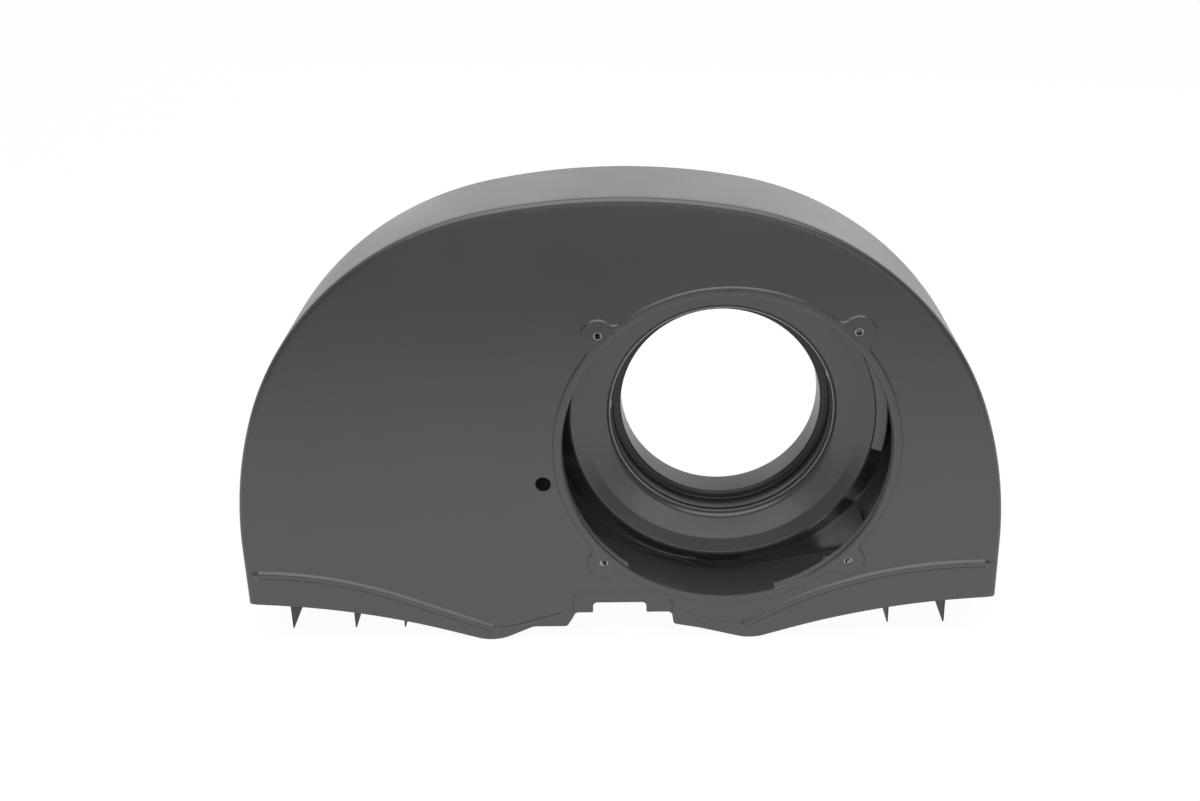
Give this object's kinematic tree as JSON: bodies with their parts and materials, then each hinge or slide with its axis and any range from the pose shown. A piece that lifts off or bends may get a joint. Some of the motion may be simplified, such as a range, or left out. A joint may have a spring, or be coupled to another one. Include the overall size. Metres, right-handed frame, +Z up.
{
  "type": "engine fan shroud",
  "caption": "Arched sheet-steel fan housing with a round fan opening, an inlet collar behind it and two downward outlets with guide vanes.",
  "frame": {"origin": "centre of the footprint at the height of the two lobes that the housing stands on", "axes": "+X to the right seen from the fan side, +Y from the fan side to the inlet side, +Z up"},
  "size_m": [0.6164, 0.1266, 0.3782],
  "materials": {
    "shell_paint": "satin dark grey",
    "guide_paint": "satin dark grey",
    "nut_paint": "satin dark grey"
  },
  "bodies": {
    "root": {"front_shell": "shell_paint", "rear_panel": "shell_paint", "inlet_collar": "shell_paint", "scroll_lip": "guide_paint", "scroll_floor": "guide_paint", "left_vane_1": "guide_paint", "left_vane_2": "guide_paint", "left_vane_3": "guide_paint", "right_vane_1": "guide_paint", "right_vane_2": "guide_paint", "ear_nut_1": "nut_paint", "ear_nut_2": "nut_paint", "ear_nut_3": "nut_paint", "ear_nut_4": "nut_paint", "side_nut_left": "nut_paint", "side_nut_right": "nut_paint"}
  },
  "joints": []
}
